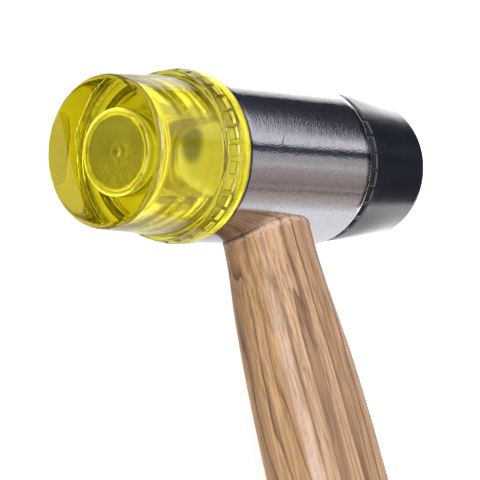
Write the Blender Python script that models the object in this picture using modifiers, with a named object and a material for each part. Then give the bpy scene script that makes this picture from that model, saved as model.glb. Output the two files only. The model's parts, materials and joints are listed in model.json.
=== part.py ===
"""Soft-face dead blow mallet, lying on its side on the ground plane.

A chrome tube head holds two screw-in faces, one of clear yellow plastic and one of black rubber, on a
wooden handle that is wedged in an oval eye. A charge of steel shot slides in a sealed cup inside the head.

The head frame has its origin at the middle of the head: +X runs down the handle, Y is the head's axis with
the yellow face at -Y, and +Z points up. An empty carries the head frame and leans it about Y until the
yellow face's collar and the handle's butt both touch the ground. Lengths are in metres.
"""

from math import asin, atan2, cos, hypot, pi, sin

import bmesh
import bpy
from mathutils import Matrix, Vector

MM = 0.001
GAP = 0.3 * MM  # between pieces that touch

# Head tube
TUBE_RADIUS = 20.0 * MM
TUBE_WALL = 2.5 * MM
TUBE_HALF_LENGTH = 23.6 * MM
TUBE_CHAMFER = 0.4 * MM
TUBE_SEGMENTS = 64
BORE_RADIUS = TUBE_RADIUS - TUBE_WALL

# Oval eye and the handle's neck: half sizes along Y (wide) and Z (thick)
NECK_WIDE = 11.9 * MM
NECK_THICK = 10.0 * MM
EYE_WIDE = NECK_WIDE + GAP
EYE_THICK = NECK_THICK + GAP
SLEEVE_WALL = 1.3 * MM
EYE_SEGMENTS = 40

# Bulkheads on both sides of the eye sleeve, seen along the head from its middle
BULKHEAD_START = EYE_WIDE + SLEEVE_WALL + GAP
BULKHEAD_THICKNESS = 1.2 * MM
BULKHEAD_RADIUS = BORE_RADIUS - GAP

# Shot cup on the black side
CUP_FLANGE_START = BULKHEAD_START + BULKHEAD_THICKNESS + GAP
CUP_FLANGE_THICKNESS = 1.0 * MM
CUP_RADIUS = 10.6 * MM
CUP_WALL = 0.6 * MM
CUP_END = 39.4 * MM
CUP_SEGMENTS = 40

# Steel shot: layers of one ball ringed by six
BALL_RADIUS = 3.0 * MM
BALL_PITCH = 2 * BALL_RADIUS + GAP
BALLS_IN_RING = 6
SHOT_LAYERS = 2
BALL_SEGMENTS = (10, 7)

# Both faces
COLLAR_START = TUBE_HALF_LENGTH + GAP
SPIGOT_START = CUP_FLANGE_START + CUP_FLANGE_THICKNESS + GAP
SPIGOT_RADIUS = 16.5 * MM
SPIGOT_CHAMFER = 0.5 * MM
GROOVE_DEPTH = 0.7 * MM
GROOVE_START = 21.9 * MM
GROOVE_END = 23.5 * MM
O_RING_THICKNESS = 1.0 * MM
O_RING_SEGMENTS = (32, 6)
THREAD_PITCH = 2.0 * MM
THREAD_TURNS = 1.75
THREAD_START = SPIGOT_START + 0.9 * MM
THREAD_CREST = 17.2 * MM
THREAD_ROOT_WIDTH = 1.3 * MM
THREAD_CREST_WIDTH = 0.5 * MM
THREAD_STEPS_PER_TURN = 32
ARC_STEPS = 4

# Yellow face
YELLOW_END = 51.8 * MM
YELLOW_END_RADIUS = 17.67 * MM
YELLOW_EDGE = 0.9 * MM
YELLOW_BARREL_RADIUS = 18.65 * MM
YELLOW_COLLAR_RADIUS = 20.6 * MM
YELLOW_BAND_END = 27.9 * MM
YELLOW_BEAD_RADIUS = 19.7 * MM
YELLOW_BEAD_END = 30.9 * MM
YELLOW_COLLAR_END = 31.5 * MM
YELLOW_BORE_RADIUS = 10.2 * MM
YELLOW_BORE_CORNER = 1.0 * MM
YELLOW_BORE_END = 44.0 * MM
YELLOW_GRIPS = 32

# Black face
BLACK_END = 52.3 * MM
BLACK_END_RADIUS = 17.3 * MM
BLACK_EDGE = 3.6 * MM
BLACK_COLLAR_RADIUS = 19.1 * MM
BLACK_GRIP_END = 27.6 * MM
BLACK_BORE_RADIUS = 11.0 * MM
BLACK_BORE_END = 40.2 * MM
BLACK_GRIPS = 27

# Grip recesses in the collars
GRIP_DEPTH = 0.45 * MM
GRIP_RIB = 0.75 * MM
GRIP_MARGIN = 0.35 * MM

# Handle: distances from the head's axis
HANDLE_TOP = -17.6 * MM
HANDLE_BUTT = 280.0 * MM
HANDLE_SIDES = 40
NECK_END = 20.5 * MM
# distance along the handle, half width, half thickness, squareness of the section (2 is an ellipse)
HANDLE_STATIONS = (
    (26 * MM, 12.1 * MM, 10.2 * MM, 2.0),
    (36 * MM, 12.9 * MM, 10.9 * MM, 2.1),
    (48 * MM, 13.8 * MM, 11.6 * MM, 2.2),
    (60 * MM, 14.4 * MM, 11.9 * MM, 2.3),
    (76 * MM, 14.8 * MM, 12.1 * MM, 2.4),
    (110 * MM, 15.2 * MM, 12.3 * MM, 2.4),
    (150 * MM, 14.7 * MM, 12.2 * MM, 2.4),
    (190 * MM, 14.4 * MM, 12.1 * MM, 2.4),
    (230 * MM, 15.6 * MM, 12.7 * MM, 2.4),
    (262 * MM, 16.8 * MM, 13.3 * MM, 2.4),
    (274 * MM, 16.6 * MM, 13.1 * MM, 2.4),
)
BUTT_ROUND = 3.0 * MM
# the grip's middle stands off the head's axis by this much (Y, Z) where it is fullest
GRIP_OFFSET = (-0.3 * MM, -0.35 * MM)
GRIP_OFFSET_FULL = (36 * MM, 110 * MM)
GRIP_OFFSET_GONE = 190 * MM

# Wedges in the handle's top
KERF_END = 8.0 * MM
WOOD_WEDGE_THICKNESS = (3.0 * MM, 0.7 * MM)
WOOD_WEDGE_HALF_WIDTH = 10.6 * MM
STEEL_WEDGE_THICKNESS = (2.4 * MM, 0.6 * MM)
STEEL_WEDGE_HALF_WIDTH = 6.2 * MM
STEEL_WEDGE_DEPTH = 11.0 * MM
STEEL_WEDGE_OFFSET = 5.4 * MM

SHARP_ANGLE = 35 * pi / 180


def clear_scene():
    for obj in list(bpy.data.objects):
        bpy.data.objects.remove(obj, do_unlink=True)


def make_collection(name):
    collection = bpy.data.collections.new(name)
    bpy.context.scene.collection.children.link(collection)
    return collection


def make_material(name, color, roughness, metallic=0.0, transmission=0.0):
    material = bpy.data.materials.new(name)
    material.use_nodes = True
    shader = material.node_tree.nodes["Principled BSDF"]
    shader.inputs["Base Color"].default_value = (*color, 1.0)
    shader.inputs["Roughness"].default_value = roughness
    shader.inputs["Metallic"].default_value = metallic
    shader.inputs["Transmission Weight"].default_value = transmission
    material.diffuse_color = (*color, 1.0)
    return material


def link_object(name, mesh, collection, material=None, frame=None):
    obj = bpy.data.objects.new(name, mesh)
    if material:
        mesh.materials.append(material)
    collection.objects.link(obj)
    if frame:
        obj.parent = frame
    return obj


def hide_cutter(obj):
    obj.hide_render = True
    obj.display_type = "WIRE"
    return obj


def mesh_from(name, build):
    mesh = bpy.data.meshes.new(name)
    bm = bmesh.new()
    build(bm)
    bmesh.ops.recalc_face_normals(bm, faces=bm.faces)
    bm.to_mesh(mesh)
    bm.free()
    return mesh


def evaluated_mesh(obj):
    graph = bpy.context.evaluated_depsgraph_get()
    mesh = bpy.data.meshes.new_from_object(obj.evaluated_get(graph))
    bpy.data.objects.remove(obj, do_unlink=True)
    return mesh


def shade_round(mesh):
    mesh.shade_smooth()
    mesh.set_sharp_from_angle(angle=SHARP_ANGLE)


def boolean(obj, other, operation):
    modifier = obj.modifiers.new(f"{operation.lower()}_{other.name}", "BOOLEAN")
    modifier.operation = operation
    modifier.solver = "EXACT"
    modifier.object = other


def add_screw(obj, segments, angle=2 * pi, rise=0.0, turns=1):
    modifier = obj.modifiers.new("turn", "SCREW")
    modifier.axis = "Z"
    modifier.angle = angle
    modifier.screw_offset = rise
    modifier.iterations = turns
    modifier.steps = segments
    modifier.render_steps = segments
    modifier.use_merge_vertices = rise == 0.0
    modifier.merge_threshold = 0.00001
    modifier.use_smooth_shade = True


def profile_mesh(name, profile, closed):
    """Points (radius, height) joined in order, in the XZ plane. A closed profile is a ring's section."""
    mesh = bpy.data.meshes.new(name)
    edges = [(i, i + 1) for i in range(len(profile) - 1)]
    if closed:
        edges.append((len(profile) - 1, 0))
    mesh.from_pydata([(radius, 0.0, height) for radius, height in profile], edges, [])
    return mesh


def turned(name, profile, collection, material, frame, segments, closed=False):
    """A turned piece about its own Z axis, as a finished mesh."""
    draft = link_object(name + "_draft", profile_mesh(name, profile, closed), collection)
    add_screw(draft, segments)
    mesh = evaluated_mesh(draft)
    mesh.name = name
    shade_round(mesh)
    return link_object(name, mesh, collection, material, frame)


def arc(centre, radius, start, end, steps=ARC_STEPS):
    """Points (radius, height) on an arc, with angles in radians counted from the outward radius."""
    angles = [start + (end - start) * i / steps for i in range(steps + 1)]
    return [(centre[0] + radius * cos(a), centre[1] + radius * sin(a)) for a in angles]


def along_head(side):
    """Rotation that turns a piece's own +Z to the head's -Y (side -1) or +Y (side 1)."""
    return Matrix.Rotation(-side * pi / 2, 4, "X")


def spigot_profile(bore_radius):
    """From the collar's back face in to the bore's mouth, with the groove for the O-ring."""
    groove_radius = SPIGOT_RADIUS - GROOVE_DEPTH
    return [
        (SPIGOT_RADIUS, COLLAR_START),
        (SPIGOT_RADIUS, GROOVE_END),
        (groove_radius, GROOVE_END),
        (groove_radius, GROOVE_START),
        (SPIGOT_RADIUS, GROOVE_START),
        (SPIGOT_RADIUS, SPIGOT_START + SPIGOT_CHAMFER),
        (SPIGOT_RADIUS - SPIGOT_CHAMFER, SPIGOT_START),
        (bore_radius, SPIGOT_START),
    ]


def thread_mesh(name, collection):
    """One helical ridge, rooted just under the spigot's surface and capped at both ends."""
    root = SPIGOT_RADIUS - GAP
    half_root = THREAD_ROOT_WIDTH / 2
    half_crest = THREAD_CREST_WIDTH / 2
    section = [
        (root, THREAD_START + half_root),
        (THREAD_CREST, THREAD_START + half_crest),
        (THREAD_CREST, THREAD_START - half_crest),
        (root, THREAD_START - half_root),
    ]
    draft = link_object(name + "_draft", profile_mesh(name, section, True), collection)
    steps = round(THREAD_STEPS_PER_TURN * THREAD_TURNS)
    add_screw(draft, steps, angle=2 * pi * THREAD_TURNS, rise=THREAD_PITCH * THREAD_TURNS)
    mesh = evaluated_mesh(draft)
    bm = bmesh.new()
    bm.from_mesh(mesh)
    bmesh.ops.remove_doubles(bm, verts=bm.verts, dist=0.000001)
    bmesh.ops.holes_fill(bm, edges=[e for e in bm.edges if e.is_boundary], sides=len(section))
    bmesh.ops.recalc_face_normals(bm, faces=bm.faces)
    bm.to_mesh(mesh)
    bm.free()
    return mesh


def grip_cutter(name, collection, count, low, high):
    """A ring of boxes that cut rectangular recesses. low and high are (radius, height) on the collar."""
    slope = atan2(low[0] - high[0], high[1] - low[1])
    length = hypot(high[0] - low[0], high[1] - low[1])
    middle = (low[0] + high[0]) / 2
    width = 2 * pi * middle / count - GRIP_RIB
    height = 4 * GRIP_DEPTH

    def build(bm):
        lift = height / 2 - GRIP_DEPTH
        centre = Vector((middle + lift * cos(slope), 0, (low[1] + high[1]) / 2 + lift * sin(slope)))
        size = Matrix.Diagonal((height, width, length, 1))
        for i in range(count):
            turn = Matrix.Rotation(2 * pi * (i + 0.5) / count, 4, "Z")
            lean = Matrix.Rotation(-slope, 4, "Y")
            bmesh.ops.create_cube(bm, size=1.0, matrix=turn @ Matrix.Translation(centre) @ lean @ size)

    return hide_cutter(link_object(name, mesh_from(name, build), collection))


def finish_face(name, side, body, bore_profile, grips, parts, cutters, material, frame, segments):
    """Turns a face, adds its thread and cuts its grip recesses. grips is (count, low, high)."""
    profile = body + spigot_profile(bore_profile[0][0]) + bore_profile[1:]
    obj = turned(name, profile, parts, material, frame, segments)
    thread = hide_cutter(link_object(name + "_thread", thread_mesh(name + "_thread", cutters), cutters))
    cutter = grip_cutter(name + "_grips", cutters, *grips)
    for helper in (obj, thread, cutter):
        helper.parent = frame
        helper.matrix_local = along_head(side)
    boolean(obj, thread, "UNION")
    boolean(obj, cutter, "DIFFERENCE")
    return obj


def make_yellow_face(parts, cutters, material, frame):
    edge_centre = (YELLOW_END_RADIUS - YELLOW_EDGE, YELLOW_END - YELLOW_EDGE)
    body = [(0.0, YELLOW_END)]
    body += list(reversed(arc(edge_centre, YELLOW_EDGE, 0.0, pi / 2)))
    body += [
        (YELLOW_BARREL_RADIUS, YELLOW_COLLAR_END),
        (YELLOW_BEAD_RADIUS, YELLOW_BEAD_END),
        (YELLOW_COLLAR_RADIUS, YELLOW_BAND_END),
        (YELLOW_COLLAR_RADIUS, COLLAR_START + 0.3 * MM),
        (YELLOW_COLLAR_RADIUS - 0.3 * MM, COLLAR_START),
    ]
    corner = (YELLOW_BORE_RADIUS - YELLOW_BORE_CORNER, YELLOW_BORE_END - YELLOW_BORE_CORNER)
    bore = [(YELLOW_BORE_RADIUS, SPIGOT_START)]
    bore += arc(corner, YELLOW_BORE_CORNER, 0.0, pi / 2)
    bore += [(0.0, YELLOW_BORE_END)]
    low = (YELLOW_COLLAR_RADIUS, YELLOW_BAND_END + GRIP_MARGIN)
    high = (YELLOW_BEAD_RADIUS, YELLOW_BEAD_END - GRIP_MARGIN)
    grips = (YELLOW_GRIPS, low, high)
    segments = 2 * YELLOW_GRIPS
    finish_face("yellow_face", -1, body, bore, grips, parts, cutters, material, frame, segments)


def make_black_face(parts, cutters, material, frame):
    edge_centre = (BLACK_END_RADIUS - BLACK_EDGE, BLACK_END - BLACK_EDGE)
    body = [(0.0, BLACK_END)]
    body += list(reversed(arc(edge_centre, BLACK_EDGE, 0.0, pi / 2)))
    body += [
        (BLACK_COLLAR_RADIUS, BLACK_GRIP_END),
        (BLACK_COLLAR_RADIUS, COLLAR_START + 0.3 * MM),
        (BLACK_COLLAR_RADIUS - 0.3 * MM, COLLAR_START),
    ]
    bore = [(BLACK_BORE_RADIUS, SPIGOT_START), (BLACK_BORE_RADIUS, BLACK_BORE_END), (0.0, BLACK_BORE_END)]
    low = (BLACK_COLLAR_RADIUS, COLLAR_START + 1.0 * MM)
    high = (BLACK_COLLAR_RADIUS, BLACK_GRIP_END)
    grips = (BLACK_GRIPS, low, high)
    segments = 2 * BLACK_GRIPS
    finish_face("black_face", 1, body, bore, grips, parts, cutters, material, frame, segments)


def make_o_ring(name, side, parts, material, frame):
    """The ring seated in a spigot's groove."""
    middle = SPIGOT_RADIUS - GROOVE_DEPTH + GAP + O_RING_THICKNESS / 2
    bpy.ops.mesh.primitive_torus_add(
        major_radius=middle,
        minor_radius=O_RING_THICKNESS / 2,
        major_segments=O_RING_SEGMENTS[0],
        minor_segments=O_RING_SEGMENTS[1],
    )
    obj = bpy.context.active_object
    for collection in list(obj.users_collection):
        collection.objects.unlink(obj)
    parts.objects.link(obj)
    obj.name = name
    obj.data.materials.append(material)
    shade_round(obj.data)
    obj.parent = frame
    seat = Matrix.Translation((0, 0, (GROOVE_START + GROOVE_END) / 2))
    obj.matrix_local = along_head(side) @ seat


def oval_point(wide, thick, squareness, angle):
    """(y, z) on a superellipse."""
    power = 2.0 / squareness
    c = cos(angle)
    s = sin(angle)
    y = wide * abs(c) ** power * (1 if c >= 0 else -1)
    z = thick * abs(s) ** power * (1 if s >= 0 else -1)
    return y, z


def add_oval_ring(bm, x, wide, thick, squareness, sides, middle):
    ring = []
    for i in range(sides):
        y, z = oval_point(wide, thick, squareness, 2 * pi * i / sides)
        ring.append(bm.verts.new((x, y + middle[0], z + middle[1])))
    return ring


def on_axis(x):
    return 0.0, 0.0


def grip_middle(x):
    """Where the middle of the handle's section lies at x, as (Y, Z)."""
    full_from, full_to = GRIP_OFFSET_FULL
    rise = (x - NECK_END) / (full_from - NECK_END)
    fall = (GRIP_OFFSET_GONE - x) / (GRIP_OFFSET_GONE - full_to)
    share = max(0.0, min(1.0, rise, fall))
    return GRIP_OFFSET[0] * share, GRIP_OFFSET[1] * share


def loft_ovals(bm, stations, sides, middle=on_axis):
    """A closed loft along X through the ovals (x, half width, half thickness, squareness)."""
    rings = [add_oval_ring(bm, *station, sides, middle(station[0])) for station in stations]
    for first, second in zip(rings, rings[1:]):
        for i in range(sides):
            j = (i + 1) % sides
            bm.faces.new((first[i], first[j], second[j], second[i]))
    bm.faces.new(list(reversed(rings[0])))
    bm.faces.new(rings[-1])


def oval_bar(name, wide, thick, half_length, collection):
    """A straight oval bar along X, used for cutting."""
    stations = ((-half_length, wide, thick, 2.0), (half_length, wide, thick, 2.0))
    mesh = mesh_from(name, lambda bm: loft_ovals(bm, stations, EYE_SEGMENTS))
    return hide_cutter(link_object(name, mesh, collection))


def make_head_tube(parts, cutters, material, frame):
    """The tube with its oval eye through both walls."""
    inner = BORE_RADIUS
    end = TUBE_HALF_LENGTH
    profile = [
        (TUBE_RADIUS - TUBE_CHAMFER, end),
        (TUBE_RADIUS, end - TUBE_CHAMFER),
        (TUBE_RADIUS, -end + TUBE_CHAMFER),
        (TUBE_RADIUS - TUBE_CHAMFER, -end),
        (inner, -end),
        (inner, end),
    ]
    obj = turned("head_tube", profile, parts, material, frame, TUBE_SEGMENTS, closed=True)
    obj.matrix_local = along_head(1)
    cutter = oval_bar("eye_cutter", EYE_WIDE, EYE_THICK, 1.3 * TUBE_RADIUS, cutters)
    cutter.parent = frame
    boolean(obj, cutter, "DIFFERENCE")


def make_eye_sleeve(parts, cutters, material, frame):
    """An oval tube through the head's middle, its ends shaped to the tube's bore."""
    wide = EYE_WIDE + SLEEVE_WALL
    thick = EYE_THICK + SLEEVE_WALL
    reach = BORE_RADIUS
    stations = ((-reach, wide, thick, 2.0), (reach, wide, thick, 2.0))
    mesh = mesh_from("eye_sleeve", lambda bm: loft_ovals(bm, stations, EYE_SEGMENTS))
    shade_round(mesh)
    obj = link_object("eye_sleeve", mesh, parts, material, frame)
    bore = [(0.0, reach), (BORE_RADIUS - GAP, reach), (BORE_RADIUS - GAP, -reach), (0.0, -reach)]
    core = turned("bore_core", bore, cutters, None, frame, TUBE_SEGMENTS)
    core.matrix_local = along_head(1)
    hide_cutter(core)
    opening = oval_bar("sleeve_opening", EYE_WIDE, EYE_THICK, 1.3 * TUBE_RADIUS, cutters)
    opening.parent = frame
    boolean(obj, core, "INTERSECT")
    boolean(obj, opening, "DIFFERENCE")


def make_bulkhead(name, side, end, parts, material, frame):
    """A disc that closes the tube between the eye sleeve and a face."""
    start = BULKHEAD_START
    profile = [(0.0, end), (BULKHEAD_RADIUS, end), (BULKHEAD_RADIUS, start), (0.0, start)]
    obj = turned(name, profile, parts, material, frame, TUBE_SEGMENTS // 2)
    obj.matrix_local = along_head(side)


def make_shot_cup(parts, material, frame):
    """A flanged steel cup, open towards the eye, that reaches into the black face's bore."""
    inner = CUP_RADIUS - CUP_WALL
    flange_end = CUP_FLANGE_START + CUP_FLANGE_THICKNESS
    profile = [
        (0.0, CUP_END),
        (CUP_RADIUS, CUP_END),
        (CUP_RADIUS, flange_end),
        (BULKHEAD_RADIUS, flange_end),
        (BULKHEAD_RADIUS, CUP_FLANGE_START),
        (inner, CUP_FLANGE_START),
        (inner, CUP_END - CUP_WALL),
        (0.0, CUP_END - CUP_WALL),
    ]
    obj = turned("shot_cup", profile, parts, material, frame, CUP_SEGMENTS)
    obj.matrix_local = along_head(1)


def make_shot(parts, material, frame):
    """Layers of balls across the head's axis, at the middle of the cup's chamber."""
    segments, rings = BALL_SEGMENTS
    bpy.ops.mesh.primitive_uv_sphere_add(segments=segments, ring_count=rings, radius=BALL_RADIUS)
    pattern = bpy.context.active_object
    mesh = pattern.data
    mesh.name = "shot_ball"
    mesh.materials.append(material)
    shade_round(mesh)
    bpy.data.objects.remove(pattern, do_unlink=True)
    chamber_middle = (CUP_FLANGE_START + CUP_END - CUP_WALL) / 2
    number = 0
    for layer in range(SHOT_LAYERS):
        y = chamber_middle + (layer - (SHOT_LAYERS - 1) / 2) * BALL_PITCH
        places = [(0.0, 0.0)]
        for i in range(BALLS_IN_RING):
            angle = 2 * pi * i / BALLS_IN_RING
            places.append((BALL_PITCH * cos(angle), BALL_PITCH * sin(angle)))
        for x, z in places:
            number += 1
            ball = bpy.data.objects.new(f"shot_ball_{number:02d}", mesh)
            parts.objects.link(ball)
            ball.parent = frame
            ball.location = (x, y, z)


def wedge_mesh(name, top, tip, half_width, thickness, grow):
    """A wedge along X between top and tip, thick along Z, widened all round by grow."""
    low = top - grow
    high = tip + grow

    def build(bm):
        bmesh.ops.create_cube(bm, size=2.0)
        for vert in bm.verts:
            at_top = vert.co.x < 0
            half = (thickness[0] if at_top else thickness[1]) / 2 + grow
            vert.co.x = low if at_top else high
            vert.co.y *= half_width + grow
            vert.co.z *= half

    return mesh_from(name, build)


def make_handle_and_wedges(parts, cutters, wood, steel, pale_wood, frame):
    stations = [
        (HANDLE_TOP, NECK_WIDE, NECK_THICK, 2.0),
        (0.0, NECK_WIDE, NECK_THICK, 2.0),
        (NECK_END, NECK_WIDE, NECK_THICK, 2.0),
    ]
    stations += HANDLE_STATIONS
    _, wide, thick, squareness = HANDLE_STATIONS[-1]
    for angle in (pi / 6, pi / 3, pi / 2):
        inset = BUTT_ROUND * (1 - cos(angle))
        x = HANDLE_BUTT - BUTT_ROUND * (1 - sin(angle))
        stations.append((x, wide - inset, thick - inset, squareness))
    mesh = mesh_from("handle", lambda bm: loft_ovals(bm, stations, HANDLE_SIDES, grip_middle))
    shade_round(mesh)
    handle = link_object("handle", mesh, parts, wood, frame)

    wood_size = (HANDLE_TOP, KERF_END - GAP, WOOD_WEDGE_HALF_WIDTH, WOOD_WEDGE_THICKNESS)
    wood_wedge_mesh = wedge_mesh("wooden_wedge", *wood_size, 0.0)
    wood_wedge = link_object("wooden_wedge", wood_wedge_mesh, parts, pale_wood, frame)
    kerf_size = (HANDLE_TOP - 1 * MM, KERF_END - GAP, NECK_WIDE + 1 * MM, WOOD_WEDGE_THICKNESS)
    kerf = hide_cutter(link_object("kerf_cutter", wedge_mesh("kerf_cutter", *kerf_size, GAP), cutters))
    kerf.parent = frame
    boolean(handle, kerf, "DIFFERENCE")

    tip = HANDLE_TOP + STEEL_WEDGE_DEPTH
    quarter_turn = Matrix.Rotation(pi / 2, 4, "X")
    steel_size = (HANDLE_TOP, tip, STEEL_WEDGE_HALF_WIDTH, STEEL_WEDGE_THICKNESS)
    slot_size = (HANDLE_TOP - 1 * MM, tip, STEEL_WEDGE_HALF_WIDTH, STEEL_WEDGE_THICKNESS)
    for label, offset in (("left", -STEEL_WEDGE_OFFSET), ("right", STEEL_WEDGE_OFFSET)):
        place = Matrix.Translation((0, offset, 0)) @ quarter_turn
        name = f"steel_wedge_{label}"
        wedge = link_object(name, wedge_mesh(name, *steel_size, 0.0), parts, steel, frame)
        wedge.matrix_local = place
        slot_mesh = wedge_mesh(f"slot_cutter_{label}", *slot_size, GAP)
        slot = hide_cutter(link_object(f"slot_cutter_{label}", slot_mesh, cutters))
        slot.parent = frame
        slot.matrix_local = place
        boolean(handle, slot, "DIFFERENCE")
        boolean(wood_wedge, slot, "DIFFERENCE")


def ground_lean():
    """Angle about Y at which the collar and the butt's lower edge share a tangent plane below."""
    x, _, thick, _ = HANDLE_STATIONS[-1]
    return asin(YELLOW_COLLAR_RADIUS / hypot(x, thick)) - atan2(thick, x)


def centre_on_ground(frame, parts):
    """Moves the frame so that the object's box is centred on the origin and stands on z = 0."""
    bpy.context.view_layer.update()
    graph = bpy.context.evaluated_depsgraph_get()
    points = []
    for obj in parts.objects:
        if obj.type != "MESH":
            continue
        evaluated = obj.evaluated_get(graph)
        points += [evaluated.matrix_world @ vert.co for vert in evaluated.data.vertices]
    for axis in (0, 1):
        values = [point[axis] for point in points]
        frame.location[axis] -= (min(values) + max(values)) / 2
    frame.location[2] -= min(point[2] for point in points)


def main():
    clear_scene()
    parts = make_collection("dead_blow_mallet")
    cutters = make_collection("cutters")
    cutters.hide_render = True
    frame = bpy.data.objects.new("head_frame", None)
    parts.objects.link(frame)

    chrome = make_material("chrome", (0.78, 0.79, 0.82), 0.12, metallic=1.0)
    steel = make_material("steel", (0.45, 0.45, 0.46), 0.4, metallic=1.0)
    shot_steel = make_material("shot_steel", (0.55, 0.55, 0.57), 0.25, metallic=1.0)
    yellow = make_material("clear_yellow_plastic", (0.86, 0.78, 0.08), 0.08, transmission=0.8)
    rubber = make_material("black_rubber", (0.02, 0.02, 0.025), 0.45)
    ring_rubber = make_material("ring_rubber", (0.03, 0.03, 0.03), 0.6)
    wood = make_material("handle_wood", (0.50, 0.31, 0.17), 0.55)
    pale_wood = make_material("wedge_wood", (0.62, 0.45, 0.27), 0.65)

    make_head_tube(parts, cutters, chrome, frame)
    make_eye_sleeve(parts, cutters, steel, frame)
    make_bulkhead("yellow_bulkhead", -1, SPIGOT_START - GAP, parts, steel, frame)
    make_bulkhead("black_bulkhead", 1, CUP_FLANGE_START - GAP, parts, steel, frame)
    make_shot_cup(parts, steel, frame)
    make_shot(parts, shot_steel, frame)
    make_yellow_face(parts, cutters, yellow, frame)
    make_black_face(parts, cutters, rubber, frame)
    make_o_ring("yellow_face_o_ring", -1, parts, ring_rubber, frame)
    make_o_ring("black_face_o_ring", 1, parts, ring_rubber, frame)
    make_handle_and_wedges(parts, cutters, wood, steel, pale_wood, frame)

    frame.rotation_euler = (0.0, ground_lean(), 0.0)
    centre_on_ground(frame, parts)


main()
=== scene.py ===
"""Looks of the two-faced dead blow mallet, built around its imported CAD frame.

Lengths are in metres unless they carry MM. Pieces are made in the head's own frame (origin at the middle of
the head, +X down the handle, yellow face at -Y) and then turned by HEAD, which holds the small lean that
rests the collar and the butt on the floor.
"""

import json
from math import atan2, ceil, cos, pi, radians, sin

import bmesh
import bpy
from mathutils import Matrix, Vector, noise


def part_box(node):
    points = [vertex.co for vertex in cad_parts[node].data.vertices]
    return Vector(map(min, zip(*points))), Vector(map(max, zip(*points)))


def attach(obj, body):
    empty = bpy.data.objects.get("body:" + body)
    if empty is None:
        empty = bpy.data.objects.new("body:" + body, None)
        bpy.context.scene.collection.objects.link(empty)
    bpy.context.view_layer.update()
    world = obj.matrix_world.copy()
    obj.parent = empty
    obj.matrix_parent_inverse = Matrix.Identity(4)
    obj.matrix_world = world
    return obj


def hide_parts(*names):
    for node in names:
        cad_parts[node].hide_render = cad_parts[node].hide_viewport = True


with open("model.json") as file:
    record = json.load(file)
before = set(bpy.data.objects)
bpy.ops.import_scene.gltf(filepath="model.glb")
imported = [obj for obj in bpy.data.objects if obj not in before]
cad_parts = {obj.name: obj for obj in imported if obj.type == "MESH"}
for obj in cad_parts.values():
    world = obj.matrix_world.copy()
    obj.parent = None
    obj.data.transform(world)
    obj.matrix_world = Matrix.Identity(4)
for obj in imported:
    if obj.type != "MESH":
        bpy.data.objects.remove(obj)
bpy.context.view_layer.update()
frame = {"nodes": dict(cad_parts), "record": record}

MM = 0.001
NODES = frame["nodes"]
MOUNTS = {mount["name"]: mount for mount in frame["record"]["mounts"]}


def middle(node):
    low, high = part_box(node)
    return (low + high) / 2


BUTT_AXIS = MOUNTS["handle_butt"]["axis"]
LEAN = atan2(-BUTT_AXIS[2], BUTT_AXIS[0])
TUBE_MIDDLE = middle("head_tube")
HEAD_CENTRE = Vector(MOUNTS["yellow_striking_face"]["pos_m"])
HEAD_CENTRE.y = TUBE_MIDDLE.y
HEAD = Matrix.Translation(HEAD_CENTRE) @ Matrix.Rotation(LEAN, 4, "Y")

TUBE_LOW, TUBE_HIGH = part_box("head_tube")
TUBE_RADIUS = (TUBE_HIGH.z - TUBE_LOW.z) / 2
TUBE_HALF_LENGTH = (TUBE_HIGH.y - TUBE_LOW.y) / 2
TUBE_WALL = 2.5 * MM
BORE_RADIUS = TUBE_RADIUS - TUBE_WALL
YELLOW_END = HEAD_CENTRE.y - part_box("yellow_face")[0].y
BLACK_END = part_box("black_face")[1].y - HEAD_CENTRE.y
SPIGOT_START = HEAD_CENTRE.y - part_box("yellow_face")[1].y
SPIGOT_LENGTH = 7.3 * MM
COLLAR_START = SPIGOT_START + SPIGOT_LENGTH

NECK_WIDE = 11.9 * MM
NECK_THICK = 10.0 * MM
EYE_GAP = 0.08 * MM

# ---- Mesh helpers ----


# vertices closer than this are one
SAME_PLACE = 0.001 * MM


def new_object(name, mesh, materials=()):
    obj = bpy.data.objects.new(name, mesh)
    bpy.context.scene.collection.objects.link(obj)
    for material in materials:
        mesh.materials.append(material)
    return obj


def bm_object(name, bm, place, materials, sharp=radians(40)):
    """Turns a bmesh in the head's frame into an object, smooth except at its sharp edges."""
    bmesh.ops.recalc_face_normals(bm, faces=bm.faces)
    mesh = bpy.data.meshes.new(name)
    bm.to_mesh(mesh)
    bm.free()
    mesh.transform(place)
    mesh.shade_smooth()
    mesh.set_sharp_from_angle(angle=sharp)
    return new_object(name, mesh, materials)


def along_head(side):
    """Turns a piece's own +Z to the head's -Y (side -1) or +Y (side 1)."""
    return HEAD @ Matrix.Rotation(-side * pi / 2, 4, "X")


def smooth(a, b, x):
    t = min(max((x - a) / (b - a), 0.0), 1.0)
    return t * t * (3 - 2 * t)


def between(low, high, edge, x):
    """1 between low and high, easing to 0 over edge inside them."""
    return smooth(low, low + edge, x) * (1 - smooth(high - edge, high, x))


def arc(centre, radius, start, end, steps):
    angles = [start + (end - start) * i / steps for i in range(steps + 1)]
    return [(centre[0] + radius * cos(a), centre[1] + radius * sin(a)) for a in angles]


def refined(profile, step):
    """The same outline with no stretch longer than step."""
    points = [profile[0]]
    for (r0, h0), (r1, h1) in zip(profile, profile[1:]):
        length = ((r1 - r0) ** 2 + (h1 - h0) ** 2) ** 0.5
        count = max(1, ceil(length / step - 1e-6))
        for i in range(1, count + 1):
            t = i / count
            points.append((r0 + (r1 - r0) * t, h0 + (h1 - h0) * t))
    return points


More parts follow.
